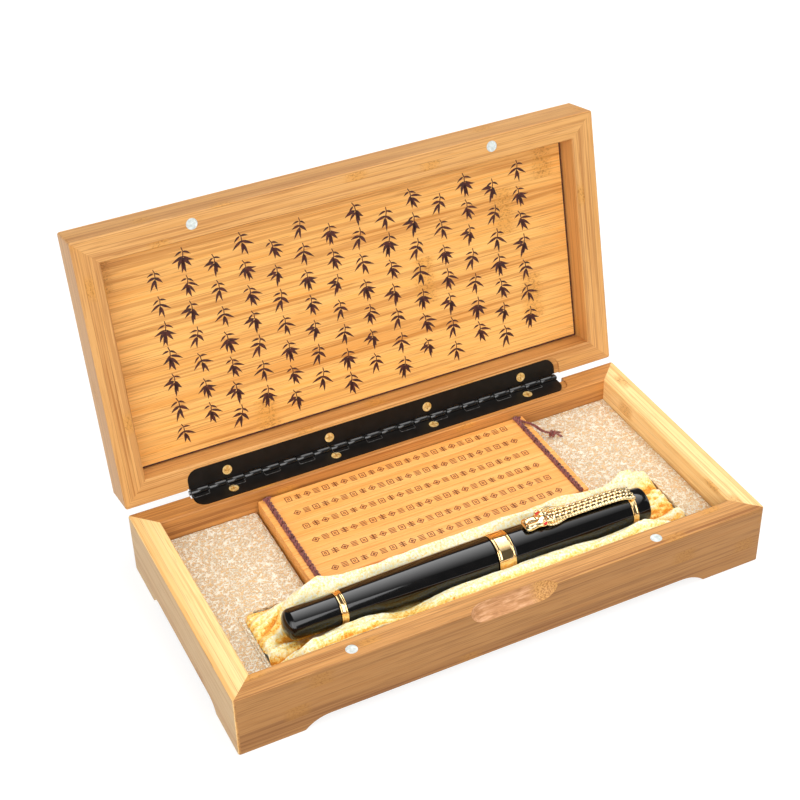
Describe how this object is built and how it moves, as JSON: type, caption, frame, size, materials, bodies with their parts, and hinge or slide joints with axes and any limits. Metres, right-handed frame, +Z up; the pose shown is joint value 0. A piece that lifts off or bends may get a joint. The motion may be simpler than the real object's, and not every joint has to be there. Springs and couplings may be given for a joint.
{
  "type": "pen gift set",
  "caption": "Open bamboo gift box on arched feet with a magnet-closed hinged lid, holding a capped fountain pen on a silk bed and a corded book of bamboo slips.",
  "frame": {"origin": "on the floor, under the middle of the part's overall size with the lid open: 21.35 mm behind the middle of the box's base", "axes": "+X to the right along the box's length, +Y from the thumb notch to the hinge, +Z up"},
  "size_m": [0.22, 0.1526, 0.1354],
  "materials": {
    "bamboo": "satin lacquer over laminated bamboo",
    "bamboo_panel": "satin lacquer, long grain",
    "bamboo_slip": "satin, amber",
    "hinge_black": "satin black",
    "pin_steel": "plain",
    "brass_screw": "bright",
    "magnet": "nickel plated",
    "liner_paper": "embossed pearl paper over board",
    "foam": "open foam",
    "silk": "yellow satin",
    "cord": "twisted red-brown cord",
    "lacquer": "high gloss black lacquer on brass",
    "gold": "polished gold plate",
    "black_plastic": "gloss",
    "feed_plastic": "satin",
    "clear_plastic": "clear",
    "red_enamel": "gloss"
  },
  "bodies": {
    "box": {"base_front_wall": "bamboo", "base_back_wall": "bamboo", "base_left_wall": "bamboo", "base_right_wall": "bamboo", "base_bottom_panel": "bamboo_panel", "base_magnets": "magnet", "hinge_base_leaf": "hinge_black", "hinge_pin": "pin_steel", "base_hinge_screws": "brass_screw", "liner_board": "liner_paper", "liner_foam": "foam", "pen_pad": "foam", "silk_lining": "silk"},
    "lid": {"lid_front_wall": "bamboo", "lid_back_wall": "bamboo", "lid_left_wall": "bamboo", "lid_right_wall": "bamboo", "lid_top_board": "bamboo_panel", "lid_inner_panel": "bamboo_panel", "lid_magnets": "magnet", "hinge_lid_leaf": "hinge_black", "lid_hinge_screws": "brass_screw"},
    "pen_core": {"grip_section": "black_plastic", "section_ring": "gold", "nib": "gold", "feed": "feed_plastic", "converter_tube": "clear_plastic", "converter_collar": "gold"},
    "barrel": {"pen_barrel": "lacquer", "barrel_end_ring": "gold", "barrel_end_cap": "lacquer"},
    "knob": {"converter_knob": "black_plastic"},
    "piston": {"converter_piston": "feed_plastic"},
    "cap": {"cap_shell": "lacquer", "cap_centre_band": "gold", "cap_inner_liner": "feed_plastic", "cap_clip_ring": "gold", "cap_finial": "lacquer", "cap_screw": "pin_steel", "cap_clip": "gold", "clip_eyes": "red_enamel"},
    "book": {"slip_leaf_2": "bamboo_slip", "slip_leaf_3": "bamboo_slip", "slip_leaf_4": "bamboo_slip", "slip_leaf_5": "bamboo_slip", "slip_leaf_6": "bamboo_slip", "leaf_cords_2": "cord", "leaf_cords_3": "cord", "leaf_cords_4": "cord", "leaf_cords_5": "cord", "leaf_cords_6": "cord"},
    "top_leaf": {"slip_leaf_1": "bamboo_slip", "leaf_cords_1": "cord", "book_tail_cord": "cord"}
  },
  "joints": [
    {"name": "lid_hinge", "type": "hinge", "parent": "box", "child": "lid", "pos_m": [0, 0.03485, 0.0272], "axis": [-1, 0, 0], "range_deg": [-102.9, 0]},
    {"name": "pen_lift", "type": "slide", "parent": "box", "child": "pen_core", "axis": [0, 0, 1], "range_m": [0, 0.075]},
    {"name": "cap_pull", "type": "slide", "parent": "pen_core", "child": "cap", "axis": [0.9999, -0.0154, 0], "range_m": [0, 0.06]},
    {"name": "barrel_unscrew", "type": "hinge", "parent": "pen_core", "child": "barrel", "pos_m": [-0.0771, -0.04885, 0.025], "axis": [0.9999, -0.0154, 0], "range_deg": [0, 1080]},
    {"name": "converter_turn", "type": "hinge", "parent": "pen_core", "child": "knob", "pos_m": [-0.0771, -0.04885, 0.025], "axis": [0.9999, -0.0154, 0], "range_deg": [0, 1441]},
    {"name": "piston_travel", "type": "slide", "parent": "pen_core", "child": "piston", "axis": [0.9999, -0.0154, 0], "range_m": [0, 0.012]},
    {"name": "book_lift", "type": "slide", "parent": "box", "child": "book", "axis": [0, 0, 1], "range_m": [0, 0.04]},
    {"name": "leaf_turn", "type": "hinge", "parent": "book", "child": "top_leaf", "pos_m": [-0.0005, -0.03135, 0.02049], "axis": [1, 0, 0], "range_deg": [0, 95]}
  ],
  "couplings": [
    {"joint": "cap_pull", "follows": "pen_lift", "ratio": 0.8},
    {"joint": "converter_turn", "follows": "piston_travel", "rad_per_m": 2094.4}
  ]
}
